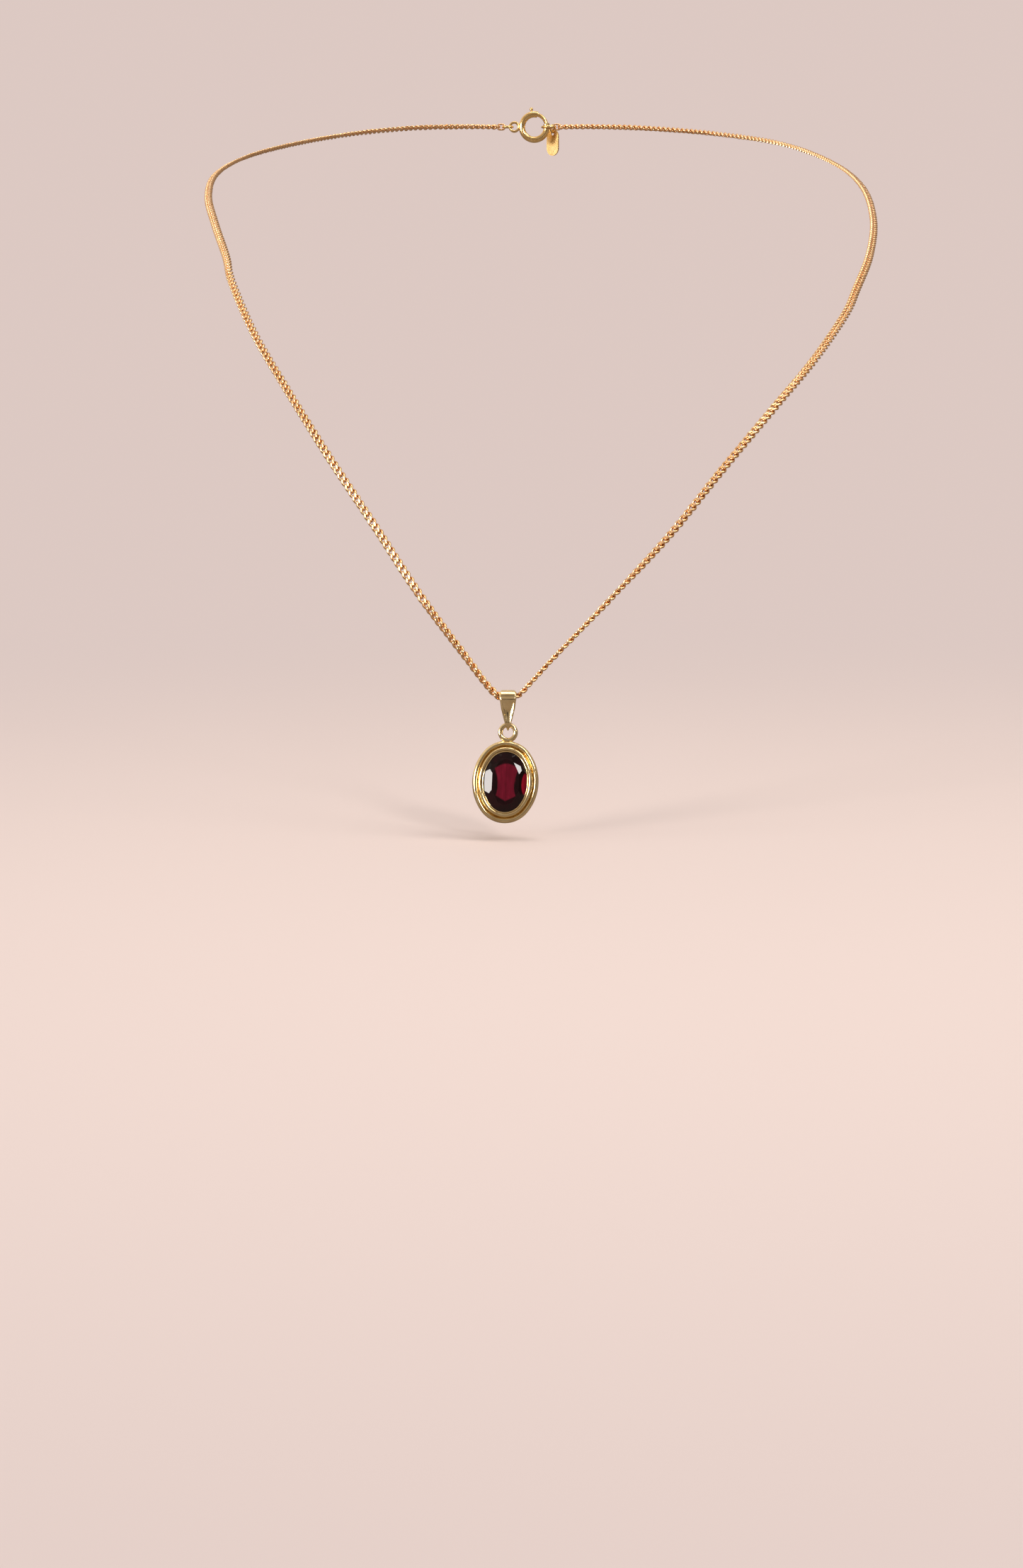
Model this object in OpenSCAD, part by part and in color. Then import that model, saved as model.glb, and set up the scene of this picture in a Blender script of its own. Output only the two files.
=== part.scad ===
// Pendant necklace: a fine curb chain with a bolt-ring clasp, and a bezel-set oval stone on a bail.
// X runs to the wearer's left, Y runs from the pendant to the nape, Z is up.
// The origin is the middle of the neck opening, level with the shoulders.

/* [Chain] */
// Distance from one link to the next
pitch = 0.97; // [0.9:0.01:1.1]
// Width of the flat curb chain
chain_w = 1.22; // [1.1:0.01:1.4]
// Diameter of the wire that the links are made of
wire_d = 0.29; // [0.26:0.01:0.3]

/* [Stone] */
// Width of the oval stone at its girdle
stone_w = 6; // [5:0.5:7]
// Height of the oval stone at its girdle
stone_l = 8; // [7:0.5:9]
// Height of the crown above the girdle
crown_h = 0.71; // [0.5:0.01:0.9]
// Depth of the pavilion below the girdle
pavilion_h = 1.9; // [1.5:0.05:2.1]

/* [Setting] */
// Width of the rounded outer frame
frame_band = 0.68; // [0.5:0.01:0.9]
// Width of the rounded inner bezel
bezel_band = 0.45; // [0.35:0.01:0.6]
// How far the bezel's lip covers the stone
lip_w = 0.28; // [0.2:0.01:0.35]
// Backward lean of the pendant and the bail, in degrees
lean = 10; // [0:1:15]
// Sideways tilt at which the pendant hangs, in degrees
hang_roll = 3; // [0:0.5:5]

/* [Bail] */
// Width of the bail at its top
bail_w = 2.2; // [1.8:0.1:2.6]
// Thickness of the bail's strap
strap_t = 0.3; // [0.25:0.01:0.35]

/* [Clasp] */
// Radius of the bolt ring, to the middle of its tube
clasp_r = 2.2; // [2:0.1:2.6]
// Outer diameter of the bolt ring's tube
tube_d = 1.1; // [1:0.05:1.2]
// Diameter of the sliding bolt
bolt_d = 0.66; // [0.6:0.02:0.68]

/* [Hidden] */
$fn = 48;

// Route of the chain, from the clasp's left end down to the pendant and back up on the right.
route = [
  [-1.4, 61.5, 20], [-8, 60.5, 20], [-17, 56.5, 19.5], [-27, 48, 18], [-36, 34, 15.5],
  [-42.5, 17, 12.5], [-45.5, -1, 9], [-45, -18, 5], [-42.5, -33, 0.5], [-39.5, -47, -4.5],
  [-38, -54.5, -8], [-34, -65, -15], [-29.5, -72.5, -21.5], [-23.5, -80.5, -30],
  [-17, -86.5, -39], [-11, -91.5, -47.5], [-5.1, -96, -54.8], [-2.8, -97.3, -57.7],
  [-1.3, -98, -59.1], [0, -98.2, -59.4], [1.3, -98, -59.1],
  [2.8, -97.3, -57.7], [6, -96, -54.4], [13, -93, -47.5], [20.5, -88.5, -40],
  [27.5, -83.5, -32], [35, -76.5, -24], [40.5, -69, -18.5], [46, -57.5, -12.5],
  [48.5, -49.5, -9], [52, -36, -4], [54.5, -20, 1.5], [55, -2, 7], [52.5, 16, 11.5],
  [46, 34, 15.5], [36, 48, 18], [24.5, 57, 19.5], [15, 60.5, 20], [8.5, 61.5, 20]];
point_i = 19; // the route's lowest point, inside the bail
steps = 24; // samples between two points of the route

// A smooth curve through the route's points, with its running length.
last_i = len(route) - 1;
function before(i) = i < 0 ? 2 * route[0] - route[1] : route[i];
function after(i) = i > last_i ? 2 * route[last_i] - route[last_i - 1] : route[i];
function blend(a, b, c, d, t) = 0.5 * (2 * b + (c - a) * t
  + (2 * a - 5 * b + 4 * c - d) * t * t + (3 * b - a - 3 * c + d) * t * t * t);
curve = concat([for (i = [0:last_i - 1]) for (k = [0:steps - 1])
  blend(before(i - 1), route[i], route[i + 1], after(i + 2), k / steps)], [route[last_i]]);
reach = [for (i = 0, s = 0; i < len(curve);
  s = i + 1 < len(curve) ? s + norm(curve[i + 1] - curve[i]) : s, i = i + 1) s];
curve_x = [for (i = [0:len(curve) - 1]) [reach[i], curve[i][0]]];
curve_y = [for (i = [0:len(curve) - 1]) [reach[i], curve[i][1]]];
curve_z = [for (i = [0:len(curve) - 1]) [reach[i], curve[i][2]]];
point_s = reach[point_i * steps];
left_length = point_s;
right_length = reach[len(reach) - 1] - point_s;

// Place and direction on the chain at a length from the pendant; the left side is negative.
function place(s) = [lookup(point_s + s, curve_x), lookup(point_s + s, curve_y),
  lookup(point_s + s, curve_z)];
function unit(v) = v / norm(v);
function heading(s) = unit(place(s + 0.3) - place(s - 0.3));

// Link sizes.
wire_r = wire_d / 2;
link_half_w = chain_w / 2 - wire_r; // to the middle of the wire
link_play = 0.1; // slack between one link and the next
link_half_l = (pitch + link_play + wire_d) / 2; // to the middle of the wire
link_side = 2 * (link_half_l - link_half_w);
barrel_d = 1.1;
barrel_l = 0.86;
bead_d = 0.7; // beads on both sides of a line where the chain folds
stub_l = 0.5; // barrels next to a true link
stub_shift = 0.18;
centre_count = 2; // true links on each side of the middle one
function links(side) = round((side < 0 ? left_length : right_length) / pitch);
function side_pitch(side) = (side < 0 ? left_length : right_length) / links(side);
// The last link of the front's lower run, of its upper run and of the side's run.
function fold_link(side) = side < 0 ? 43 : 42;
function shoulder_link(side) = side < 0 ? 91 : 90;
function nape_link(side) = side < 0 ? 150 : 160;

// One plain link: two half rings and two straight sides, long way along X.
module plain_link() {
  for (k = [0, 1])
    rotate([0, 0, 180 * k]) {
      translate([link_side / 2, 0, 0])
        rotate([0, 0, -90])
          rotate_extrude(angle = 180)
            translate([link_half_w, 0]) circle(d = wire_d);
      translate([-link_side / 2, link_half_w, 0])
        rotate([0, 90, 0]) cylinder(d = wire_d, h = link_side);
    }
}

// Puts a link at a length s, turned by roll about the chain.
module link_at(s, roll) {
  p = place(s);
  t = heading(s);
  b = unit(cross([0, -cos(lean), sin(lean)], t));
  n = cross(t, b);
  multmatrix([[t[0], b[0], n[0], p[0]], [t[1], b[1], n[1], p[1]], [t[2], b[2], n[2], p[2]],
    [0, 0, 0, 1]])
    rotate([roll, 0, 0]) plain_link();
}

// Stands at link k of one side, with Z along the chain and away from the pendant.
module at_link(side, k) {
  p = place(side * k * side_pitch(side));
  t = side * heading(side * k * side_pitch(side));
  translate(p) rotate([0, acos(t[2]), atan2(t[1], t[0])]) children();
}
// A run of the chain from link a to link b: one short barrel stands for each link.
module chain_run(side, a, b) {
  for (k = [a + 1:b - 1]) at_link(side, k) cylinder(d = barrel_d, h = barrel_l, center = true);
}
// A bead at a fold of the chain, and a short barrel beside a true link.
module fold_bead(side, k) { at_link(side, k) sphere(d = bead_d); }
module stub(side, k, shift) {
  at_link(side, k) translate([0, 0, shift]) cylinder(d = barrel_d, h = stub_l, center = true);
}
module lower_run(side) {
  stub(side, centre_count + 1, stub_shift);
  chain_run(side, centre_count + 1, fold_link(side));
  fold_bead(side, fold_link(side));
}
module upper_run(side) {
  fold_bead(side, fold_link(side) + 1);
  chain_run(side, fold_link(side) + 1, shoulder_link(side));
  fold_bead(side, shoulder_link(side));
}
module side_run(side) {
  fold_bead(side, shoulder_link(side) + 1);
  chain_run(side, shoulder_link(side) + 1, nape_link(side));
  fold_bead(side, nape_link(side));
}
module nape_run(side) {
  fold_bead(side, nape_link(side) + 1);
  chain_run(side, nape_link(side) + 1, links(side) - 1);
  stub(side, links(side) - 1, -stub_shift);
}

module centre_links() {
  color("goldenrod")
    for (k = [-centre_count:centre_count])
      link_at(k * pitch, k % 2 == 0 ? 0 : 90);
}
module front_chain_lower_left() { color("goldenrod") lower_run(-1); }
module front_chain_lower_right() { color("goldenrod") lower_run(1); }
module front_chain_upper_left() { color("gold") upper_run(-1); }
module front_chain_upper_right() { color("gold") upper_run(1); }
module side_chain_left() { color("goldenrod") side_run(-1); }
module side_chain_right() { color("goldenrod") side_run(1); }
module nape_chain_left() { color("gold") nape_run(-1); }
module nape_chain_right() { color("gold") nape_run(1); }
module end_link(p) { translate(p) rotate([90, 0, 0]) plain_link(); }
module end_link_left() { color("goldenrod") end_link(route[0]); }
module end_link_right() { color("goldenrod") end_link(route[last_i]); }

// The bail and the pendant share a leaning frame with its origin in the pendant ring's centre.
ring_r = 0.95; // to the middle of the wire
ring_wire_r = 0.29;
link_above_ring = 4.35; // middle link above the ring's centre
ring_place = route[point_i] - link_above_ring * [0, sin(lean), cos(lean)];
module leaning() { translate(ring_place) rotate([-lean, 0, 0]) children(); }
module hanging() { leaning() rotate([0, hang_roll, 0]) children(); }
module wire_ring(r, wire) { rotate_extrude() translate([r, 0]) circle(r = wire); }

// Side view of the bail: two circles, one above the other, and their common tangents.
bail_top_z = 4.11;
bail_top_r = 0.9;
bail_foot_z = 0.93;
bail_foot_r = 0.36;
bail_tip_t = 0.4; // the strap's thickness where its ends are soldered
function arc_points(z, r, a, b) =
  [for (k = [0:16]) let (t = a + (b - a) * k / 16) [r * cos(t), z + r * sin(t)]];
module drop_shape(z1, r1, z2, r2) {
  tilt = asin((r2 - r1) / (z1 - z2));
  polygon(concat(arc_points(z1, r1, tilt, 180 - tilt), arc_points(z2, r2, -180 - tilt, tilt)));
}
module bail() {
  color("khaki") leaning() intersection() {
    rotate([90, 0, 90]) linear_extrude(height = bail_w, center = true) difference() {
      drop_shape(bail_top_z, bail_top_r + strap_t, bail_foot_z, bail_foot_r + bail_tip_t);
      drop_shape(bail_top_z, bail_top_r, bail_foot_z, bail_foot_r);
    }
    rotate([90, 0, 0]) linear_extrude(height = 4, center = true)
      polygon([for (k = [1, -1]) for (q = k > 0 ? bail_outline : bail_outline_back)
        [k * q[0], q[1]]]);
  }
}
// Half-width of the bail's front at heights above the ring's centre, from the top down.
bail_outline = [[bail_w / 2, 5.6], [bail_w / 2, 4.4], [bail_w * 0.33, 2.5], [bail_w * 0.21, 1.4],
  [bail_w * 0.12, 0.5], [bail_w * 0.06, 0]];
bail_outline_back = [for (i = [len(bail_outline) - 1:-1:0]) bail_outline[i]];

module pendant_ring() {
  color("khaki") difference() {
    hanging() rotate([90, 0, 0]) wire_ring(ring_r, ring_wire_r);
    hanging() translate([0, 0, end_y - oval_drop]) rotate([90, 0, 0])
      cylinder(r = end_r + frame_edge, h = 2, center = true);
  }
}

// The oval: two side arcs and two end arcs. They meet in line on rays that rise 3 in 4, and they
// share their centres' triangle. Offsets are outward from the girdle.
side_x = stone_l - stone_w; // side arcs' centres, across
end_y = 0.75 * side_x; // end arcs' centres, up and down
side_r = stone_w / 2 + side_x;
end_r = stone_l / 2 - end_y;
meet = atan2(3, 4);
girdle_gap = 0.02; // between the girdle and the bezel
frame_edge = girdle_gap + bezel_band + frame_band;
oval_drop = ring_r + ring_wire_r - 0.19 + frame_edge + stone_l / 2; // ring's centre to the oval's

// Carries a profile round the oval: its x is the offset, its y is the height to the front.
module arc(r, rays) {
  intersection() {
    rotate_extrude() translate([r, 0]) children();
    linear_extrude(height = 8, center = true) polygon(rays);
  }
}
module round_oval() {
  hanging() translate([0, 0, -oval_drop]) rotate([90, 0, 0])
    for (k = [0, 1]) rotate([0, 0, 180 * k]) {
      translate([-side_x, 0, 0]) arc(side_r, [[0, 0], [12, -9], [12, 9]]) children();
      translate([0, end_y, 0]) arc(end_r, [[0, 0], [12, 9], [-12, 9]]) children();
    }
}
// A band with a half-round top: from x1 to x2, and from height low to the round's centre.
module band(x1, x2, low, top) {
  translate([x1, low]) square([x2 - x1, top - low]);
  translate([(x1 + x2) / 2, top]) circle(r = (x2 - x1) / 2);
}
bezel_edge = girdle_gap + bezel_band;
girdle_half = 0.06;
girdle_h = 0.25; // height of the girdle's middle
girdle_top = girdle_h + girdle_half;
table_in = 1.2; // from the girdle in to the table's edge
crown_slope = crown_h / table_in;
lip_under = girdle_top + 0.035;
frame_low = -0.7;
bezel_low = -0.9;
gallery_low = -1.7;
module outer_frame() { color("gold") round_oval() band(bezel_edge, frame_edge, frame_low, 0.15); }
module inner_bezel() { color("khaki") round_oval() band(girdle_gap, bezel_edge, bezel_low, 0.6); }
module bezel_lip() {
  color("gold") round_oval()
    polygon([[girdle_gap, lip_under], [girdle_gap, 0.6], [-0.1, 0.6], [0.02 - lip_w, 0.58],
      [-lip_w, lip_under + crown_slope * lip_w + 0.03], [-lip_w, lip_under + crown_slope * lip_w]]);
}
module stone_seat() {
  color("goldenrod") round_oval()
    polygon([[girdle_gap, 0.15], [girdle_gap, -0.5], [-lip_w, -0.5], [-lip_w, -0.06]]);
}
module gallery() {
  color("goldenrod") round_oval()
    polygon([[girdle_gap, bezel_low], [bezel_edge, bezel_low], [0.12, gallery_low],
      [-0.28, gallery_low]]);
}
module back_rail() {
  color("khaki") round_oval() translate([-0.08, gallery_low - 0.21]) circle(r = 0.2);
}

// A point of the oval whose outward normal stands at angle a, moved out by off, at height h.
function oval_point(a, off, h) = abs(sin(a)) < sin(meet)
  ? [(cos(a) > 0 ? -side_x : side_x) + (side_r + off) * cos(a), (side_r + off) * sin(a), h]
  : [(end_r + off) * cos(a), sign(sin(a)) * end_y + (end_r + off) * sin(a), h];
// The stone's corners: table, star tips, girdle top and bottom, pavilion belt and keel.
star_in = 0.62;
belt_in = 1.3;
stone_corners = concat(
  [for (k = [0:7]) oval_point(22.5 + 45 * k, -table_in, girdle_top + crown_h)],
  [for (k = [0:7]) oval_point(45 * k, -star_in, girdle_top + crown_slope * star_in + 0.03)],
  [for (h = [girdle_top, girdle_h - girdle_half]) for (k = [0:15]) oval_point(22.5 * k, 0, h)],
  [for (k = [0:7]) oval_point(22.5 + 45 * k, -belt_in, girdle_h - pavilion_h * 0.52)],
  [[0, 0.6, girdle_h - pavilion_h], [0, -0.6, girdle_h - pavilion_h]]);
module garnet() {
  color("darkred") hanging() translate([0, 0, -oval_drop]) rotate([90, 0, 0])
    hull() polyhedron(stone_corners, [for (i = [1:len(stone_corners) - 2]) [0, i, i + 1]]);
}

// The clasp's ring stands in the XZ plane; angles run from +X towards +Z.
clasp_place = [4.5, 61.5, 20];
tube_r = tube_d / 2;
bore_r = bolt_d / 2 + 0.05;
tube_from = 75; // the tube's end beside the nib
gap_angle = 60; // the gap that the bolt closes
nib_angle = 100;
travel = 58; // the bolt's travel
module clasp_frame() { translate(clasp_place) rotate([90, 0, 0]) children(); }
module sector(from, turn) {
  rotate([0, 0, from]) rotate_extrude(angle = turn) translate([clasp_r, 0]) children();
}
module bolt_ring_tube() {
  color("gold") clasp_frame() difference() {
    sector(tube_from, 360 - gap_angle) difference() {
      circle(r = tube_r);
      circle(r = bore_r);
    }
    sector(nib_angle - 4, travel + 8) translate([bore_r / 2, -0.14]) square([tube_d, 0.28]);
  }
}
eye_r = 0.78;
eye_wire_r = 0.22;
module bolt_ring_eye() {
  color("khaki") clasp_frame() difference() {
    translate([-clasp_r - tube_r - 0.8, 0, 0]) wire_ring(eye_r, eye_wire_r);
    wire_ring(clasp_r, tube_r);
  }
}
module bolt() { color("goldenrod") clasp_frame() sector(12, 138) circle(d = bolt_d); }
module thumb_nib() {
  color("khaki") clasp_frame() difference() {
    rotate([0, 0, nib_angle]) {
      translate([clasp_r, 0, 0]) rotate([0, 90, 0]) cylinder(r = 0.11, h = 0.8);
      translate([clasp_r + tube_r + 0.37, 0, 0]) sphere(r = 0.32);
    }
    wire_ring(clasp_r, bolt_d / 2);
  }
}
spring_coils = 16;
module bolt_spring() {
  color("silver") clasp_frame()
    for (k = [0:spring_coils - 1]) rotate([0, 0, 154 + 8 * k])
      translate([clasp_r, 0, 0]) rotate([90, 0, 0]) wire_ring(0.24, 0.07);
}
module spring_stop() { color("khaki") clasp_frame() sector(282, 6) circle(d = bolt_d + 0.06); }
jump_r = 0.85;
jump_wire_r = 0.2;
module jump_ring() {
  color("khaki") translate(clasp_place - [4.74, 0, 0]) wire_ring(jump_r, jump_wire_r);
}
catch_r = 1.15;
catch_wire_r = 0.22;
catch_place = clasp_place + [2.565, 0, 0];
module catch_ring() { color("khaki") translate(catch_place) wire_ring(catch_r, catch_wire_r); }

// The tag hangs on a small ring of its own from the back of the catch ring.
tag_angle = 50; // where its ring sits, from +X towards the back
tag_ring_r = 0.65;
tag_wire_r = 0.16;
touch = 0.02; // play between two rings that hang on each other
tag_ring_drop = tag_ring_r - catch_wire_r - tag_wire_r - touch;
tag_hang = catch_place + catch_r * [cos(tag_angle), sin(tag_angle), 0];
tag_w = 2.6;
tag_l = 4.6;
tag_t = 0.3;
tag_hole_r = 0.35;
tag_rim = 0.4; // metal between the hole and the tag's top edge
module tag_frame() { translate(tag_hang) rotate([0, 0, tag_angle]) children(); }
module tag_ring() {
  color("khaki") tag_frame() translate([0, 0, -tag_ring_drop]) rotate([90, 0, 0])
    wire_ring(tag_ring_r, tag_wire_r);
}
tag_wire_z = -tag_ring_drop - tag_ring_r; // the ring's lowest wire, below the catch ring's
tag_hole_z = tag_wire_z + tag_wire_r + touch - tag_hole_r;
module tag() {
  color("gold") tag_frame() translate([0, 0, tag_hole_z + tag_hole_r + tag_rim])
    rotate([90, 0, 90]) linear_extrude(height = tag_t, center = true) difference() {
      union() {
        translate([0, -tag_w / 2]) circle(d = tag_w);
        translate([0, tag_w / 2 - tag_l]) circle(d = tag_w);
        translate([-tag_w / 2, tag_w / 2 - tag_l]) square([tag_w, tag_l - tag_w]);
      }
      translate([0, -tag_rim - tag_hole_r]) circle(r = tag_hole_r);
    }
}

centre_links();
front_chain_lower_left();
front_chain_lower_right();
front_chain_upper_left();
front_chain_upper_right();
side_chain_left();
side_chain_right();
nape_chain_left();
nape_chain_right();
end_link_left();
end_link_right();
bail();
pendant_ring();
outer_frame();
inner_bezel();
bezel_lip();
stone_seat();
gallery();
back_rail();
garnet();
jump_ring();
bolt_ring_tube();
bolt_ring_eye();
bolt();
thumb_nib();
bolt_spring();
spring_stop();
catch_ring();
tag_ring();
tag();
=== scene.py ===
"""Looks of the pendant necklace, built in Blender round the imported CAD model."""
import math
import random

import bmesh
import bpy
from mathutils import Matrix, Vector


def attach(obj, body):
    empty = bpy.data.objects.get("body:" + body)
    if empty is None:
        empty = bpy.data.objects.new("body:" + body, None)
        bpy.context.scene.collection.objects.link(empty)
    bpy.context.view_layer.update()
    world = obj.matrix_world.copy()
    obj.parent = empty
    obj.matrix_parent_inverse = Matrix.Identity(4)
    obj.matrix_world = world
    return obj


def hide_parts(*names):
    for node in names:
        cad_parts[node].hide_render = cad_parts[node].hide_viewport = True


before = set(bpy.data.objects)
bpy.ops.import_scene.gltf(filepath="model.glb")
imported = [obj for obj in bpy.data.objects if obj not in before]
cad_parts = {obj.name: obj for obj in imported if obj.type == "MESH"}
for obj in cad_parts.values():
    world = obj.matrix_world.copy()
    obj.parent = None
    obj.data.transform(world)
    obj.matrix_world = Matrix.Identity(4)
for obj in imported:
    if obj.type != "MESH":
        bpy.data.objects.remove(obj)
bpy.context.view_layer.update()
MM = 0.001
LEAN = math.radians(10)
SCENE = bpy.context.scene


# ---------------------------------------------------------------- mesh helpers
def mesh_piece(name, verts, faces, material, body, nodes, sharp=None, flat=False):
    """A mesh object from points in millimetres, riding on a body and standing for CAD nodes."""
    mesh = bpy.data.meshes.new(name)
    mesh.from_pydata([tuple(c * MM for c in v) for v in verts], [], faces)
    mesh.validate()
    mesh.update()
    piece = bpy.data.objects.new(name, mesh)
    SCENE.collection.objects.link(piece)
    mesh.materials.append(material)
    for poly in mesh.polygons:
        poly.use_smooth = not flat
    if sharp is not None:
        mesh.set_sharp_from_angle(angle=math.radians(sharp))
    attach(piece, body)
    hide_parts(*nodes)


def closed_grid(rows, cols):
    """Quads over a grid of rows x cols points, closed on itself both ways."""
    faces = []
    for a in range(rows):
        b = (a + 1) % rows
        for c in range(cols):
            d = (c + 1) % cols
            faces.append((a * cols + c, a * cols + d, b * cols + d, b * cols + c))
    return faces


def smooth(a, b, x):
    """0 up to a, 1 from b on, and an eased step between."""
    t = min(1.0, max(0.0, (x - a) / (b - a)))
    return t * t * (3 - 2 * t)


# ---------------------------------------------------------------- materials
def node(tree, kind, **values):
    """A shader node, with its inputs or settings given by name."""
    n = tree.nodes.new(kind)
    for key, value in values.items():
        if key in n.inputs:
            n.inputs[key].default_value = value
        else:
            setattr(n, key, value)
    return n


def noise(tree, coords, scale, detail, stretch=None):
    """A noise texture over coords, which can be stretched along each axis."""
    if stretch:
        mapping = node(tree, "ShaderNodeMapping")
        mapping.inputs["Scale"].default_value = stretch
        tree.links.new(coords, mapping.inputs["Vector"])
        coords = mapping.outputs["Vector"]
    n = node(tree, "ShaderNodeTexNoise", Scale=scale, Detail=detail)
    tree.links.new(coords, n.inputs["Vector"])
    return n.outputs["Fac"]


def ramp(tree, fac, stops):
    """A colour for each value of fac, from stops of (place, colour)."""
    n = node(tree, "ShaderNodeValToRGB")
    n.color_ramp.elements[0].position = stops[0][0]
    n.color_ramp.elements[0].color = (*stops[0][1], 1)
    n.color_ramp.elements[1].position = stops[-1][0]
    n.color_ramp.elements[1].color = (*stops[-1][1], 1)
    for place, colour in stops[1:-1]:
        n.color_ramp.elements.new(place).color = (*colour, 1)
    tree.links.new(fac, n.inputs["Fac"])
    return n.outputs["Color"]


def mapped(tree, fac, low, high, source=(0.0, 1.0), kind="LINEAR"):
    """fac carried from the source range to low and high, and held at both ends."""
    n = node(tree, "ShaderNodeMapRange", interpolation_type=kind)
    n.inputs["From Min"].default_value, n.inputs["From Max"].default_value = source
    n.inputs["To Min"].default_value = low
    n.inputs["To Max"].default_value = high
    tree.links.new(fac, n.inputs["Value"])
    return n.outputs["Result"]


# Noise scales of polished metal: drift of its colour, uneven gloss, scratches and ripple
DRIFT, GLOSS, SCRATCHES, RIPPLES = 900, 5200, 2600, 1100
SCRATCH_RUN = (1.0, 9.0, 2.2)
SCRATCH_DEPTH, RIPPLE_DEPTH = 0.000006, 0.00004


def metal(name, stops, rough, scratch=0.25, wave=0.15):
    """Polished metal: colour that drifts a little, uneven gloss, fine scratches and a soft ripple."""
    m = bpy.data.materials.new(name)
    m.use_nodes = True
    t = m.node_tree
    shader = t.nodes["Principled BSDF"]
    shader.inputs["Metallic"].default_value = 1.0
    coords = node(t, "ShaderNodeTexCoord").outputs["Object"]
    cloudy = noise(t, coords, DRIFT, 4)
    t.links.new(ramp(t, cloudy, stops), shader.inputs["Base Color"])
    fine = noise(t, coords, GLOSS, 5)
    t.links.new(mapped(t, fine, rough[0], rough[1]), shader.inputs["Roughness"])
    lines = noise(t, coords, SCRATCHES, 6, SCRATCH_RUN)
    bump = node(t, "ShaderNodeBump", Strength=scratch, Distance=SCRATCH_DEPTH)
    t.links.new(lines, bump.inputs["Height"])
    ripple = node(t, "ShaderNodeBump", Strength=wave, Distance=RIPPLE_DEPTH)
    t.links.new(noise(t, coords, RIPPLES, 2), ripple.inputs["Height"])
    t.links.new(ripple.outputs["Normal"], bump.inputs["Normal"])
    t.links.new(bump.outputs["Normal"], shader.inputs["Normal"])
    return m


CHAIN_GOLD = metal("chain_gold", [(0.3, (0.79, 0.47, 0.22)), (0.52, (0.87, 0.55, 0.29)),
                                  (0.75, (0.92, 0.64, 0.37))], (0.16, 0.32))
SETTING_GOLD = metal("setting_gold", [(0.3, (0.76, 0.57, 0.29)), (0.5, (0.84, 0.66, 0.36)),
                                      (0.75, (0.90, 0.74, 0.44))], (0.09, 0.20), 0.3, 0.25)
CLASP_GOLD = metal("clasp_gold", [(0.3, (0.80, 0.52, 0.20)), (0.5, (0.90, 0.62, 0.27)),
                                  (0.75, (0.94, 0.69, 0.34))], (0.12, 0.26), 0.35)
SPRING_STEEL = metal("spring_steel", [(0.3, (0.52, 0.52, 0.52)), (0.7, (0.66, 0.66, 0.65))],
                     (0.22, 0.34), 0.4)


# ---------------------------------------------------------------- the chain's route
# The chain's middle line in mm, from its left end round the front to its right end
ROUTE = [
    (-1.4, 61.5, 20), (-8, 60.5, 20), (-17, 56.5, 19.5), (-27, 48, 18), (-36, 34, 15.5),
    (-42.5, 17, 12.5), (-45.5, -1, 9), (-45, -18, 5), (-42.5, -33, 0.5), (-39.5, -47, -4.5),
    (-38, -54.5, -8), (-34, -65, -15), (-29.5, -72.5, -21.5), (-23.5, -80.5, -30),
    (-17, -86.5, -39), (-11, -91.5, -47.5), (-5.1, -96, -54.8), (-2.8, -97.3, -57.7),
    (-1.3, -98, -59.1), (0, -98.2, -59.4), (1.3, -98, -59.1),
    (2.8, -97.3, -57.7), (6, -96, -54.4), (13, -93, -47.5), (20.5, -88.5, -40),
    (27.5, -83.5, -32), (35, -76.5, -24), (40.5, -69, -18.5), (46, -57.5, -12.5),
    (48.5, -49.5, -9), (52, -36, -4), (54.5, -20, 1.5), (55, -2, 7), (52.5, 16, 11.5),
    (46, 34, 15.5), (36, 48, 18), (24.5, 57, 19.5), (15, 60.5, 20), (8.5, 61.5, 20)]
# Index of the point of the V in the route, curve steps from one place to the next, and link pitch
POINT, STEPS, PITCH = 19, 24, 0.97
RINGS = [Vector(p) for p in ROUTE]


def route_curve():
    """A smooth curve through every place of the route."""
    pts = [2 * RINGS[0] - RINGS[1]] + RINGS + [2 * RINGS[-1] - RINGS[-2]]
    out = []
    for i in range(1, len(pts) - 2):
        a, b, c, d = pts[i - 1:i + 3]
        for k in range(STEPS):
            t = k / STEPS
            out.append(0.5 * (2 * b + (c - a) * t + (2 * a - 5 * b + 4 * c - d) * t * t
                              + (3 * b - a - 3 * c + d) * t ** 3))
    out.append(pts[-2])
    return out


CURVE = route_curve()
REACH = [0.0]
for i in range(1, len(CURVE)):
    REACH.append(REACH[-1] + (CURVE[i] - CURVE[i - 1]).length)
POINT_S = REACH[POINT * STEPS]
LENGTH = {-1: POINT_S, 1: REACH[-1] - POINT_S}
LINKS = {side: round(LENGTH[side] / PITCH) for side in (-1, 1)}
# The last link before each fold line, counted from the pendant, to the left and to the right
FOLD = {-1: 43, 1: 42}
SHOULDER = {-1: 91, 1: 90}
NAPE = {-1: 150, 1: 160}


def place(s):
    """The point of the middle line at a distance s from the point of the V, left negative."""
    s = min(max(POINT_S + s, 0.0), REACH[-1])
    low, high = 0, len(REACH) - 1
    while high - low > 1:
        mid = (low + high) // 2
        if REACH[mid] <= s:
            low = mid
        else:
            high = mid
    f = (s - REACH[low]) / (REACH[high] - REACH[low])
    return CURVE[low].lerp(CURVE[high], f)


def heading(s):
    """The way the chain runs at a distance s."""
    return (place(s + 0.3) - place(s - 0.3)).normalized()


# ---------------------------------------------------------------- curb links
# Middle line's half length and half width, wire radius, twist, and half thickness between the filed faces
LINK_A, LINK_B, LINK_R, LINK_TWIST, LINK_FLAT = 0.675, 0.435, 0.177, math.radians(59), 0.285
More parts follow.
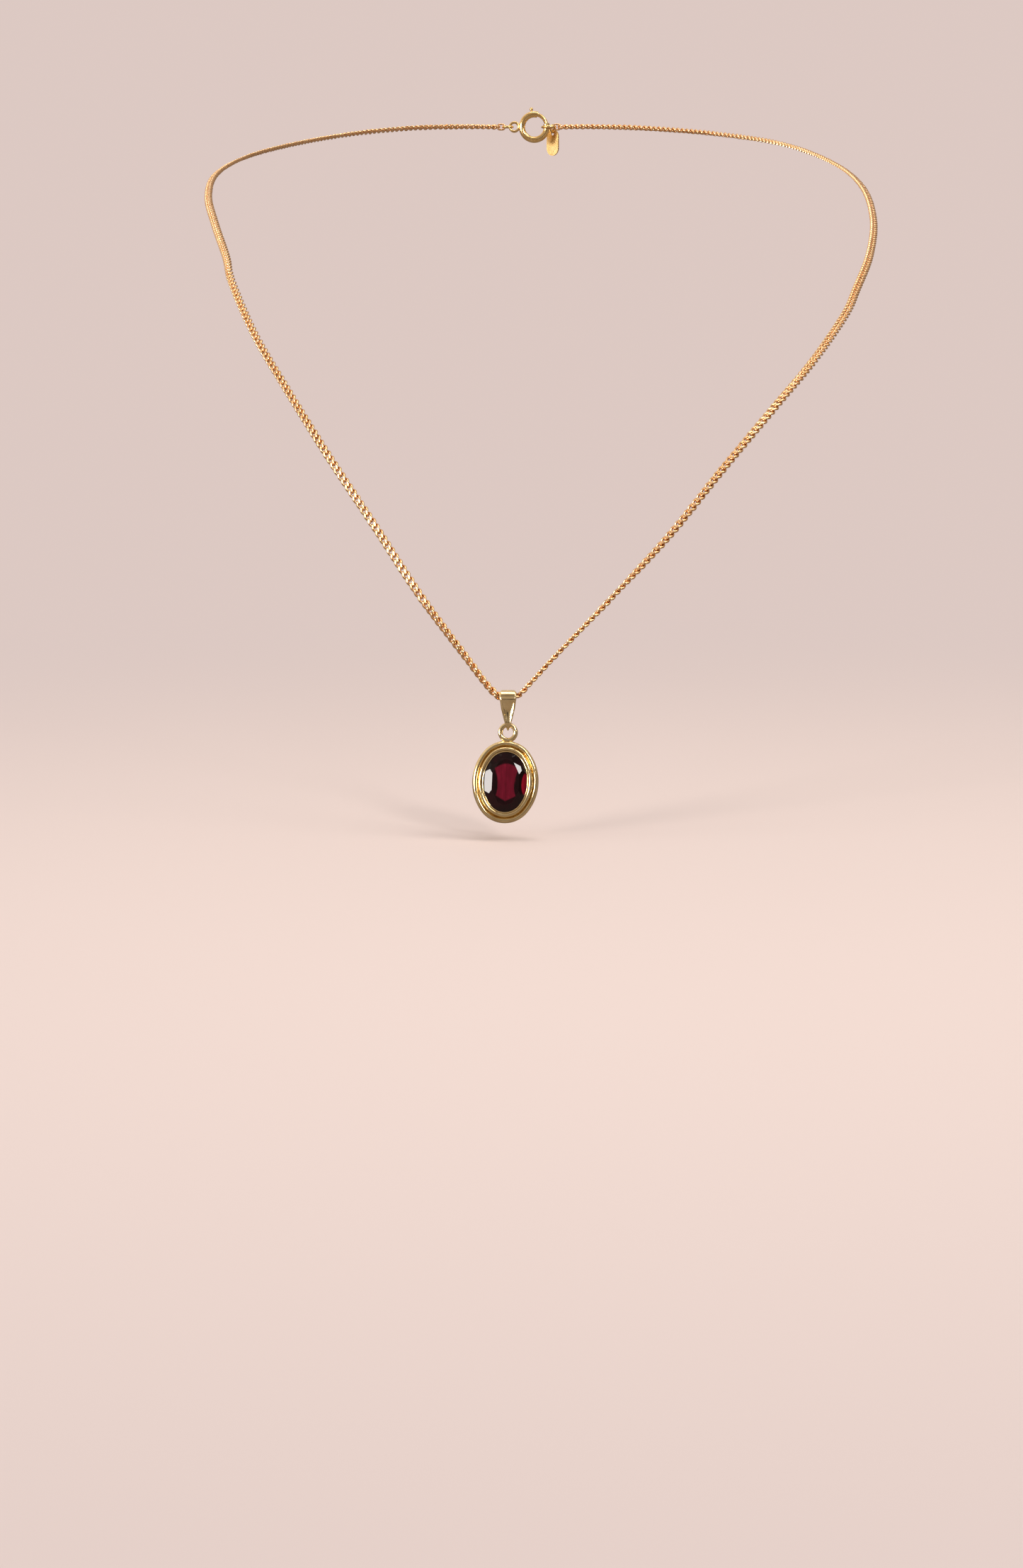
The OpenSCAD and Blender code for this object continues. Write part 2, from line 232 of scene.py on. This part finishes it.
# Stations round the link and round its wire
ROUND, WIRE = 40, 14


def curb_template():
    """Points of one twisted oval link, filed flat on its two faces: t along the chain, b across, n up."""
    def centre(u):
        roll = LINK_TWIST * math.cos(u)
        return Vector((LINK_A * math.cos(u), LINK_B * math.sin(u) * math.cos(roll),
                       LINK_B * math.sin(u) * math.sin(roll)))
    points = []
    for i in range(ROUND):
        u = 2 * math.pi * i / ROUND
        c = centre(u)
        along = (centre(u + 0.01) - centre(u - 0.01)).normalized()
        out = c - along * c.dot(along)
        out.normalize()
        side = along.cross(out)
        for j in range(WIRE):
            v = 2 * math.pi * j / WIRE
            p = c + LINK_R * (math.cos(v) * out + math.sin(v) * side)
            p.z = max(-LINK_FLAT, min(LINK_FLAT, p.z))
            points.append(p)
    return points, closed_grid(ROUND, WIRE)


TEMPLATE, TEMPLATE_FACES = curb_template()


def facing(p):
    """The way the chain's flat side faces at a point: to the front, over the shoulder, or out at the back."""
    return Vector((0.013 * p.x, 0.014 * p.y, 0.25 + 0.011 * (p.y + 100)))


# Roll of the flat chain about its own length: (distance from the pendant in mm, degrees)
ROLL = {-1: [(0, 55), (3, 60), (12, 50), (18, 34), (26, 28), (34, 30), (60, 28), (75, 20), (90, 12),
             (110, 0)],
        1: [(0, -80), (8, -86), (20, -74), (32, -54), (50, -46), (80, -32), (95, -18), (110, 0)]}
ROLL_SPREAD = 4


def chain_roll(side, s):
    """Roll of the chain in degrees at a distance s from the pendant."""
    for (a, x), (b, y) in zip(ROLL[side], ROLL[side][1:]):
        if s <= b:
            return x + (y - x) * smooth(a, b, s)
    return 0


def add_link(verts, faces, centre, along, normal, roll):
    """Adds one link, turned by its roll about the chain."""
    across = normal.cross(along).normalized()
    normal = along.cross(across)
    turn = Matrix.Rotation(math.radians(roll), 3, along)
    across, normal = turn @ across, turn @ normal
    start = len(verts)
    for p in TEMPLATE:
        verts.append(centre + p.x * along + p.y * across + p.z * normal)
    faces.extend(tuple(start + k for k in f) for f in TEMPLATE_FACES)


def chain_piece(name, spans, body, nodes):
    """Curb links for spans of (side, first link, last link)."""
    rnd = random.Random(name)
    verts, faces = [], []
    for side, first, last in spans:
        pitch = LENGTH[side] / LINKS[side]
        for k in range(first, last + 1):
            s = k * pitch
            p = place(side * s)
            along = heading(side * s)
            roll = chain_roll(side, s) + rnd.uniform(-ROLL_SPREAD, ROLL_SPREAD)
            add_link(verts, faces, p, along, facing(p), roll)
    mesh_piece(name, verts, faces, CHAIN_GOLD, body, nodes, sharp=38)


chain_piece("curb_links_centre", [(-1, 0, 2), (1, 1, 2)], "front_lower_chain", ["centre_links"])
for side, word in ((-1, "left"), (1, "right")):
    chain_piece("curb_links_lower_" + word, [(side, 3, FOLD[side])], "front_lower_chain",
                ["front_chain_lower_" + word])
    chain_piece("curb_links_upper_" + word, [(side, FOLD[side] + 1, SHOULDER[side])],
                "front_upper_chain", ["front_chain_upper_" + word])
    chain_piece("curb_links_side_" + word, [(side, SHOULDER[side] + 1, NAPE[side])],
                "side_chain", ["side_chain_" + word])
    chain_piece("curb_links_nape_" + word, [(side, NAPE[side] + 1, LINKS[side] - 1)],
                "nape_chain", ["nape_chain_" + word])


# ---------------------------------------------------------------- bail and pendant
# The pendant's ring: radius to the middle of its wire, wire radius, and how far it sinks into the frame
RING_R, RING_WIRE, RING_SUNK = 0.95, 0.29, 0.19
RING_BELOW_CHAIN = 4.35
UP = Vector((0, math.sin(LEAN), math.cos(LEAN)))
OUT = Vector((0, -math.cos(LEAN), math.sin(LEAN)))
RIGHT = Vector((1, 0, 0))
RING_PLACE = RINGS[POINT] - RING_BELOW_CHAIN * UP
HANG = math.radians(3)
# The stone's outline: side arcs about (+-SIDE_X, 0), end arcs about (0, +-END_Y), which meet at OVAL_JOIN
SIDE_X, END_Y, SIDE_R, END_R = 2.0, 1.5, 5.0, 2.5
OVAL_JOIN = END_Y / math.hypot(SIDE_X, END_Y)
STONE_TIP = END_Y + END_R
FRAME_EDGE = 1.15
DROP = RING_R + RING_WIRE - RING_SUNK + FRAME_EDGE + STONE_TIP


def leaning(x, z, h):
    """A point x across, z up and h to the front of the pendant ring's centre."""
    return RING_PLACE + x * RIGHT + z * UP + h * OUT


def hanging(x, z, h):
    """The same, turned with the pendant about the ring's centre."""
    c, s = math.cos(HANG), math.sin(HANG)
    return leaning(x * c + z * s, -x * s + z * c, h)


def oval(a, off):
    """A point of the oval whose outward normal stands at angle a, moved out by off."""
    c, s = math.cos(a), math.sin(a)
    if abs(s) < OVAL_JOIN:
        return (math.copysign(SIDE_X, -c) + (SIDE_R + off) * c, (SIDE_R + off) * s)
    return ((END_R + off) * c, math.copysign(END_Y, s) + (END_R + off) * s)


def arc(cx, cy, r, a, b, n):
    """n + 1 points of an arc from a to b degrees."""
    angles = [math.radians(a + (b - a) * i / n) for i in range(n + 1)]
    return [(cx + r * math.cos(v), cy + r * math.sin(v)) for v in angles]


STATIONS = 180
DOME_STEPS, DOME_POWER, FOOT_SOFT = 26, 2.5, 0.07


def setting_piece(name, cad_node, verts, faces, sharp=None):
    mesh_piece(name, verts, faces, SETTING_GOLD, "pendant", [cad_node], sharp=sharp)


def round_oval(name, cad_node, profile, sharp=40):
    """A closed profile of (offset, height) carried round the oval."""
    verts = []
    for i in range(STATIONS):
        a = 2 * math.pi * i / STATIONS
        for off, h in profile:
            x, y = oval(a, off)
            verts.append(hanging(x, y - DROP, h))
    setting_piece(name, cad_node, verts, closed_grid(STATIONS, len(profile)), sharp)


def band(x1, x2, low, top, rise):
    """A wall from x1 to x2 with a domed top that stands up by rise, and softened lower edges."""
    r = (x2 - x1) / 2
    c = (x1 + x2) / 2
    steps = [math.cos(math.pi * k / DOME_STEPS) for k in range(DOME_STEPS + 1)]
    crown = [(c + r * u, top + rise * (1 - abs(u) ** DOME_POWER)) for u in steps]
    foot_y = low + FOOT_SOFT
    foot = (arc(x1 + FOOT_SOFT, foot_y, FOOT_SOFT, 180, 270, 4)
            + arc(x2 - FOOT_SOFT, foot_y, FOOT_SOFT, 270, 360, 4))
    return crown + foot


round_oval("outer_frame_band", "outer_frame", band(0.44, FRAME_EDGE, -0.7, 0.10, 0.38))
round_oval("inner_bezel_band", "inner_bezel", band(-0.21, 0.455, -0.9, 0.34, 0.40))
round_oval("bezel_lip_burnished", "bezel_lip",
           arc(-0.20, 0.52, 0.075, 60, 215, 10) + [(-0.275, 0.40), (-0.10, 0.36), (-0.10, 0.56)], sharp=60)
round_oval("stone_seat_step", "stone_seat", [(0.02, 0.15), (-0.28, -0.06), (-0.28, -0.5), (0.02, -0.5)],
           sharp=30)
round_oval("gallery_wall", "gallery", [(0.46, -0.905), (0.02, -0.905), (-0.26, -1.68), (-0.22, -1.70),
                                       (0.10, -1.70), (0.14, -1.68)], sharp=30)
round_oval("back_rail_wire", "back_rail", arc(-0.08, -1.91, 0.2, 0, 342, 19))


def ring_piece():
    """The pendant's ring, of round wire."""
    verts = []
    n, m = 96, 28
    for i in range(n):
        a = 2 * math.pi * i / n
        for j in range(m):
            v = 2 * math.pi * j / m
            off = RING_WIRE * math.cos(v)
            h = RING_WIRE * math.sin(v)
            verts.append(hanging((RING_R + off) * math.cos(a), (RING_R + off) * math.sin(a), h))
    setting_piece("pendant_ring_wire", "pendant_ring", verts, closed_grid(n, m))


ring_piece()


# ---------------------------------------------------------------- bail
# Side view: height and inner radius of its top and of its foot, and the strap's thickness at each
TOP_Z, TOP_R, FOOT_Z, FOOT_R, STRAP, TIP = 4.11, 0.90, 0.93, 0.36, 0.30, 0.40
# Front view: (height, half width), from the top down
WIDTHS = [(5.41, 0.84), (5.36, 0.93), (5.25, 1.01), (5.05, 1.07), (4.8, 1.08), (4.3, 1.07), (3.91, 1.0),
          (2.98, 0.87), (1.61, 0.53), (0.74, 0.30), (0.45, 0.21), (0.0, 0.10)]
ARC_STEPS, LINE_STEPS, BAIL_COLS = 40, 36, 28
EDGE_ROUND, CAMBER = 0.17, 0.03
# The raised rim's width, and the front panel's depth: at its edges, and scooped at its middle height
RIM, PANEL, SCOOP, SCOOP_Z, SCOOP_REACH = 0.25, 0.04, 0.20, 2.75, 1.5


def bail_half_width(z):
    """Half the strap's width at a height."""
    if z >= WIDTHS[0][0]:
        return WIDTHS[0][1]
    for (za, wa), (zb, wb) in zip(WIDTHS, WIDTHS[1:]):
        if z >= zb:
            return wb + (wa - wb) * (z - zb) / (za - zb)
    return WIDTHS[-1][1]


def drop_points(r1, r2):
    """Side view of the bail from the middle of its foot, up the front, over the top and down the back."""
    tilt = math.degrees(math.asin((r2 - r1) / (TOP_Z - FOOT_Z)))
    foot_front = arc(0, FOOT_Z, r2, -90, tilt, ARC_STEPS // 2)
    top = arc(0, TOP_Z, r1, tilt, 180 - tilt, ARC_STEPS)
    foot_back = arc(0, FOOT_Z, r2, 180 - tilt, 270, ARC_STEPS // 2)

    def line(p, q):
        shares = [k / LINE_STEPS for k in range(1, LINE_STEPS)]
        return [(p[0] + (q[0] - p[0]) * u, p[1] + (q[1] - p[1]) * u) for u in shares]

    pts = foot_front + line(foot_front[-1], top[0]) + top + line(top[-1], foot_back[0]) + foot_back[:-1]
    return [Vector((0, -y, z)) for y, z in pts]


def bail_piece():
    """The folded strap, its edges rounded and its front panel sunk between raised rims."""
    outer = drop_points(TOP_R + STRAP, FOOT_R + TIP)
    inner = drop_points(TOP_R, FOOT_R)
    verts = []
    for o, i in zip(outer, inner):
        h_out, z_out = -o.y, o.z
        h_in, z_in = -i.y, i.z
        w = bail_half_width(z_out)
        front = h_out > 0 and z_out < TOP_Z
        rim = min(RIM, 0.42 * w)
        ring = []
        for c in range(BAIL_COLS + 1):
            v = -1 + 2 * c / BAIL_COLS
            x = w * v
            edge = (1 - abs(v)) * w
            lift = -EDGE_ROUND * (1 - smooth(0, EDGE_ROUND, edge)) - CAMBER * v * v
            if front:
                panel = smooth(rim * 0.70, rim * 1.15, edge) * smooth(TOP_Z - 0.10, TOP_Z - 0.45, z_out)
                scoop = max(0.0, 1 - (x / (w - rim * 0.7)) ** 2)
                hollow = max(0.0, 1 - ((z_out - SCOOP_Z) / SCOOP_REACH) ** 2)
                lift -= (PANEL + SCOOP * scoop * hollow) * panel
            ring.append((x, lift))
        d = Vector((h_out - h_in, z_out - z_in)).normalized()
        for x, lift in ring:
            verts.append(leaning(x, z_out + d.y * lift, h_out + d.x * lift))
        for x in (w * 0.985, w * 0.5, 0, -w * 0.5, -w * 0.985):
            verts.append(leaning(x, z_in, h_in))
    inside = 5
    faces = closed_grid(len(outer), BAIL_COLS + 1 + inside)
    mesh_piece("bail_strap", verts, faces, SETTING_GOLD, "bail", ["bail"], sharp=50)


bail_piece()


# ---------------------------------------------------------------- the stone
STONE = hanging(0, -DROP, 0)
STONE_X = (hanging(1, -DROP, 0) - STONE).normalized()
STONE_Y = (hanging(0, 1 - DROP, 0) - STONE).normalized()


def math_node(t, op, a, b=0.0, clamp=False):
    """The result of a sum on numbers or on other nodes' outputs."""
    n = node(t, "ShaderNodeMath", operation=op, use_clamp=clamp)
    for socket, value in zip(n.inputs, (a, b)):
        if isinstance(value, (int, float)):
            socket.default_value = value
        else:
            t.links.new(value, socket)
    return n.outputs[0]


def stone_axis(t, coords, axis):
    """Millimetres from the stone's middle along one of its axes."""
    dot = node(t, "ShaderNodeVectorMath", operation="DOT_PRODUCT")
    t.links.new(coords, dot.inputs[0])
    dot.inputs[1].default_value = axis / MM
    return math_node(t, "SUBTRACT", dot.outputs["Value"], STONE.dot(axis))


def fade(t, value, edge, width):
    """1 where value is under edge, 0 where it is over, soft between."""
    return math_node(t, "DIVIDE", math_node(t, "SUBTRACT", edge + width / 2, value), width, True)


def garnet_material():
    """Dark opaque stone with painted light on it, as if from inside it: a burgundy hourglass of painted
    reflection off the inner facets, and a red crescent of painted light passing through at its right side.
    """
    m = bpy.data.materials.new("garnet")
    m.use_nodes = True
    t = m.node_tree
    shader = t.nodes["Principled BSDF"]
    coords = node(t, "ShaderNodeTexCoord").outputs["Object"]
    # Painted reflection: the burgundy hourglass stands for light reflected off the pavilion facets inside the
    # stone.
    wobble = math_node(t, "MULTIPLY", math_node(t, "SUBTRACT", noise(t, coords, 900, 3), 0.5), 0.30)
    x = stone_axis(t, coords, STONE_X)
    y = stone_axis(t, coords, STONE_Y)
    across = math_node(t, "ADD", math_node(t, "ABSOLUTE", math_node(t, "SUBTRACT", x, 0.08)), wobble)
    y_in = math_node(t, "ADD", y, 0.35)
    waist = math_node(t, "MULTIPLY", math_node(t, "MULTIPLY", y_in, y_in), -0.115)
    sides = fade(t, math_node(t, "ADD", across, waist), 1.02, 0.16)
    curve = math_node(t, "MULTIPLY", math_node(t, "MULTIPLY", across, across), 0.30)
    top = fade(t, math_node(t, "ADD", y, curve), 2.28, 0.22)
    low = fade(t, math_node(t, "SUBTRACT", math_node(t, "MULTIPLY", across, 0.55), y), 2.38, 0.20)
    hourglass = math_node(t, "MULTIPLY", math_node(t, "MULTIPLY", sides, top), low)
    # Painted reflection: a darker line down the hourglass's middle, where the reflections of two inner facets
    # part.
    reflection_parting = math_node(t, "SUBTRACT", 1.0, math_node(t, "MULTIPLY", fade(t, across, 0.05, 0.12), 0.18))
    hourglass = math_node(t, "MULTIPLY", hourglass, reflection_parting)
    # Painted light: the red crescent at the stone's right stands for light passing through the stone. It is
    # brightest at its inner edge and darker toward the rim.
    y_right = math_node(t, "ADD", y, 0.15)
    bow = math_node(t, "MULTIPLY", math_node(t, "MULTIPLY", y_right, y_right), 0.16)
    inward = math_node(t, "SUBTRACT", bow, x)
    right = math_node(t, "MULTIPLY", fade(t, inward, -2.03, 0.12),
                      fade(t, math_node(t, "ABSOLUTE", y_right), 1.25, 0.35))
    right = math_node(t, "MULTIPLY", right, mapped(t, inward, 0.35, 1.0, (-2.7, -2.05)))
    streak = noise(t, coords, 900, 2, (2.4, 1.0, 0.5))
    body = ramp(t, noise(t, coords, 700, 3), [(0.35, (0.003, 0.0003, 0.0006)),
                                              (0.7, (0.011, 0.0006, 0.0018))])
    # Colour of the painted reflection in the hourglass, streaked.
    painted_reflection_colour = ramp(t, streak, [(0.30, (0.068, 0.0018, 0.008)), (0.60, (0.095, 0.003, 0.012)),
                            (0.8, (0.125, 0.005, 0.016))])
    first = node(t, "ShaderNodeMix", data_type="RGBA")
    t.links.new(hourglass, first.inputs["Factor"])
    t.links.new(body, first.inputs[6])
    t.links.new(painted_reflection_colour, first.inputs[7])
    second = node(t, "ShaderNodeMix", data_type="RGBA")
    t.links.new(right, second.inputs["Factor"])
    t.links.new(first.outputs[2], second.inputs[6])
    # Colour of the painted light in the crescent.
    crescent = ramp(t, streak, [(0.35, (0.12, 0.001, 0.008)), (0.65, (0.24, 0.003, 0.016))])
    t.links.new(crescent, second.inputs[7])
    t.links.new(second.outputs[2], shader.inputs["Base Color"])
    shader.inputs["IOR"].default_value = 1.77
    shader.inputs["Specular IOR Level"].default_value = 0.18
    t.links.new(mapped(t, noise(t, coords, 3000, 4), 0.01, 0.05), shader.inputs["Roughness"])
    return m


GARNET = garnet_material()


def garnet_piece():
    """The cut stone: a block cut down by one plane for each facet."""
    bm = bmesh.new()
    bmesh.ops.create_cube(bm, size=20)

    def cut(normal, point):
        geom = bm.verts[:] + bm.edges[:] + bm.faces[:]
        made = bmesh.ops.bisect_plane(bm, geom=geom, plane_co=point, plane_no=normal, clear_outer=True,
                                      dist=1e-5)
        edges = [e for e in made["geom_cut"] if isinstance(e, bmesh.types.BMEdge)]
        if edges:
            bmesh.ops.contextual_create(bm, geom=edges)

    table_h, girdle_h, low_h = 0.95, 0.31, 0.19
    table = [oval(math.radians(22.5 + 45 * k), -1.04) for k in range(8)]
    cut(Vector((0, 0, 1)), Vector((0, 0, table_h)))
    for k in range(32):
        a = math.radians(11.25 * k + 5.6)
        x, y = oval(a, -0.005)
        cut(Vector((math.cos(a), math.sin(a), 0)), Vector((x, y, 0)))
    for k in range(8):
        a = math.radians(45 * k)
        n = Vector((math.cos(a), math.sin(a)))
        inner = max(n.dot(Vector(p)) for p in table)
        outer = n.dot(Vector(oval(a, 0.0)))
        rise = (table_h - girdle_h) / (outer - inner)
        cut(Vector((n.x * rise, n.y * rise, 1)).normalized(), Vector((n.x * inner, n.y * inner, table_h)))
        b = a + math.radians(22.5)
        x, y = oval(b, 0.0)
        cut(Vector((math.cos(b) * 0.66, math.sin(b) * 0.66, 1)).normalized(), Vector((x, y, girdle_h)))
        deep = 1.9 / outer
        cut(Vector((n.x * deep, n.y * deep, -1)).normalized(), Vector((n.x * outer, n.y * outer, low_h)))
        cut(Vector((math.cos(b) * 0.95, math.sin(b) * 0.95, -1)).normalized(), Vector((x, y, low_h)))
    cut(Vector((0, 0, -1)), Vector((0, 0, -1.6)))
    for sx, sy in ((1, 1), (-1, 1), (-1, -1), (1, -1)):
        cut(Vector((0.27 * sx, 0.14 * sy, 1)).normalized(), Vector((1.48 * sx, 1.38 * sy, table_h)))
        cut(Vector((0.11 * sx, 0.27 * sy, 1)).normalized(), Vector((0.50 * sx, 2.72 * sy, table_h)))
    bmesh.ops.bevel(bm, geom=bm.edges[:], offset=0.018, segments=1, affect="EDGES", clamp_overlap=True)
    bm.verts.ensure_lookup_table()
    bm.faces.ensure_lookup_table()
    bm.verts.index_update()
    verts = [hanging(v.co.x, v.co.y - DROP, v.co.z) for v in bm.verts]
    faces = [tuple(v.index for v in f.verts) for f in bm.faces]
    bm.free()
    mesh_piece("garnet_stone", verts, faces, GARNET, "pendant", ["garnet"], flat=True)


garnet_piece()


# ---------------------------------------------------------------- clasp: CAD shapes with a finish
def finish_node(name, material):
    """Gives a CAD node's own shape a material."""
    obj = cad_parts[name]
    if not obj.material_slots:
        obj.data.materials.append(material)
    for slot in obj.material_slots:
        slot.material = material


for name in ("jump_ring", "bolt_ring_tube", "bolt_ring_eye", "bolt", "thumb_nib", "spring_stop", "catch_ring",
             "tag_ring", "tag"):
    finish_node(name, CLASP_GOLD)
for name in ("end_link_left", "end_link_right"):
    finish_node(name, CHAIN_GOLD)
finish_node("bolt_spring", SPRING_STEEL)


# ---------------------------------------------------------------- floor, light and camera
PALE = (0.72, 0.585, 0.545)
FLOOR_Z, FLOOR_REACH = -0.077, 9
floor_skin = bpy.data.materials.new("floor")
floor_skin.use_nodes = True
ft = floor_skin.node_tree
shade = ft.nodes["Principled BSDF"]
shade.inputs["Base Color"].default_value = (0.84, 0.69, 0.64, 1)
shade.inputs["Specular IOR Level"].default_value = 0.0
# Painted shade: reflections see the floor in this dark colour, standing in for shade on the floor in front of
# the pendant.
floor_shade_in_reflections = node(ft, "ShaderNodeBsdfDiffuse", Color=(0.32, 0.26, 0.22, 1))
pick = node(ft, "ShaderNodeMixShader")
ft.links.new(node(ft, "ShaderNodeLightPath").outputs["Is Glossy Ray"], pick.inputs["Fac"])
ft.links.new(floor_shade_in_reflections.outputs["BSDF"], pick.inputs[2])
grain = noise(ft, node(ft, "ShaderNodeTexCoord").outputs["Object"], 700, 4)
ft.links.new(mapped(ft, grain, 0.86, 0.94), shade.inputs["Roughness"])
far = node(ft, "ShaderNodeVectorMath", operation="DISTANCE")
ft.links.new(node(ft, "ShaderNodeTexCoord").outputs["Object"], far.inputs[0])
far.inputs[1].default_value = (0.02, -0.12, FLOOR_Z)
even = mapped(ft, far.outputs["Value"], 0.0, 1.0, (0.03, 0.26), "SMOOTHSTEP")
flat_light = node(ft, "ShaderNodeEmission", Color=(*PALE, 1), Strength=1.0)
sweep = node(ft, "ShaderNodeMixShader")
ft.links.new(even, sweep.inputs["Fac"])
ft.links.new(shade.outputs["BSDF"], sweep.inputs[1])
ft.links.new(flat_light.outputs["Emission"], sweep.inputs[2])
ft.links.new(sweep.outputs["Shader"], pick.inputs[1])
ft.links.new(pick.outputs["Shader"], ft.nodes["Material Output"].inputs["Surface"])
floor_mesh = bpy.data.meshes.new("floor")
corners = [(x * FLOOR_REACH, y * FLOOR_REACH, FLOOR_Z) for x, y in ((-1, -1), (1, -1), (1, 1), (-1, 1))]
floor_mesh.from_pydata(corners, [], [(0, 1, 2, 3)])
floor = bpy.data.objects.new("floor", floor_mesh)
floor_mesh.materials.append(floor_skin)
SCENE.collection.objects.link(floor)

world = bpy.data.worlds.new("studio")
SCENE.world = world
world.use_nodes = True
wt = world.node_tree
room = wt.nodes["Background"]
seen = node(wt, "ShaderNodeBackground", Color=(*PALE, 1), Strength=1.0)
fill = node(wt, "ShaderNodeBackground", Color=(1, 1, 1, 1), Strength=0.38)


def toward(direction):
    """How nearly the surround lies in a direction: 1 where it does, 0 square to it."""
    dot = node(wt, "ShaderNodeVectorMath", operation="DOT_PRODUCT")
    wt.links.new(node(wt, "ShaderNodeTexCoord").outputs["Generated"], dot.inputs[0])
    dot.inputs[1].default_value = direction
    return dot.outputs["Value"]


# Only reflections see this: rings about the way to the camera, darker to one side, with a dark patch
way = toward((0, -0.987, 0.16))
rings = ramp(wt, mapped(wt, way, 0.5, 1.0), [
    (0.40, (0.80, 0.69, 0.60)), (0.64, (0.92, 0.80, 0.70)), (0.74, (0.40, 0.34, 0.29)),
    (0.77, (0.26, 0.22, 0.185)), (0.88, (0.28, 0.235, 0.20)), (0.92, (0.50, 0.43, 0.37)),
    (0.97, (0.56, 0.48, 0.41)), (1.0, (0.28, 0.24, 0.21))])
lit_side = toward((-0.70, 0.0, 0.71))
shade_side = node(wt, "ShaderNodeMix", data_type="RGBA", blend_type="MULTIPLY")
shade_side.inputs["Factor"].default_value = 1.0
wt.links.new(rings, shade_side.inputs[6])
wt.links.new(ramp(wt, mapped(wt, lit_side, 0.0, 1.0, (-0.8, 0.8)),
                  [(0.0, (0.34, 0.31, 0.28)), (0.5, (0.70, 0.68, 0.66)), (1.0, (1.05, 1.05, 1.05))]),
             shade_side.inputs[7])
dark_flag = toward((0.208, -0.978, -0.073))
flagged = node(wt, "ShaderNodeMix", data_type="RGBA", blend_type="MULTIPLY")
flagged.inputs["Factor"].default_value = 1.0
wt.links.new(shade_side.outputs[2], flagged.inputs[6])
wt.links.new(mapped(wt, dark_flag, 1.0, 0.12, (0.955, 0.980)), flagged.inputs[7])
wt.links.new(flagged.outputs[2], room.inputs["Color"])
path = node(wt, "ShaderNodeLightPath")
glossy = node(wt, "ShaderNodeMixShader")
wt.links.new(path.outputs["Is Glossy Ray"], glossy.inputs["Fac"])
wt.links.new(fill.outputs["Background"], glossy.inputs[1])
wt.links.new(room.outputs["Background"], glossy.inputs[2])
mix = node(wt, "ShaderNodeMixShader")
wt.links.new(path.outputs["Is Camera Ray"], mix.inputs["Fac"])
wt.links.new(glossy.outputs["Shader"], mix.inputs[1])
wt.links.new(seen.outputs["Background"], mix.inputs[2])
wt.links.new(mix.outputs["Shader"], wt.nodes["World Output"].inputs["Surface"])

# What the lights face, in metres: the pendant
AIM = Vector((0, -0.095, -0.065))


def softbox(name, direction, distance, size_x, size_y, painted_reflection_colour, colour=(1, 1, 1)):
    """A soft light of an even glow, facing the pendant from a direction."""
    light = bpy.data.lights.new(name, "AREA")
    light.shape = "RECTANGLE"
    light.size, light.size_y = size_x, size_y
    light.energy = painted_reflection_colour * math.pi * size_x * size_y
    light.color = colour
    obj = bpy.data.objects.new(name, light)
    SCENE.collection.objects.link(obj)
    d = Vector(direction).normalized()
    obj.location = AIM + d * distance
    obj.rotation_euler = (-d).to_track_quat("-Z", "Y").to_euler()


softbox("window_left", (-0.774, -0.62, 0.10), 0.8, 0.24, 0.34, 25, (1.0, 0.94, 0.89))
softbox("window_wide", (-0.93, -0.34, 0.10), 0.9, 0.46, 0.52, 4.5, (1.0, 0.96, 0.89))
softbox("window_right", (0.494, -0.774, 0.397), 0.8, 0.15, 0.15, 25, (1.0, 0.97, 0.94))
softbox("screen_right", (0.61, -0.18, 0.77), 0.9, 0.34, 0.34, 5.0, (1.0, 0.96, 0.89))
softbox("overhead", (0.05, 0.10, 1.0), 0.9, 0.6, 0.24, 4.0, (1, 0.97, 0.94))

camera = bpy.data.objects.new("camera", bpy.data.cameras.new("camera"))
camera.data.lens = 62.47
camera.data.sensor_width = 36
camera.data.clip_start = 0.01
camera.data.clip_end = 50
camera.location = Vector((0.44, -434.8, -11.0)) * MM
camera.rotation_euler = (math.radians(80), 0, 0)
SCENE.collection.objects.link(camera)
SCENE.camera = camera
SCENE.view_settings.view_transform = "Standard"
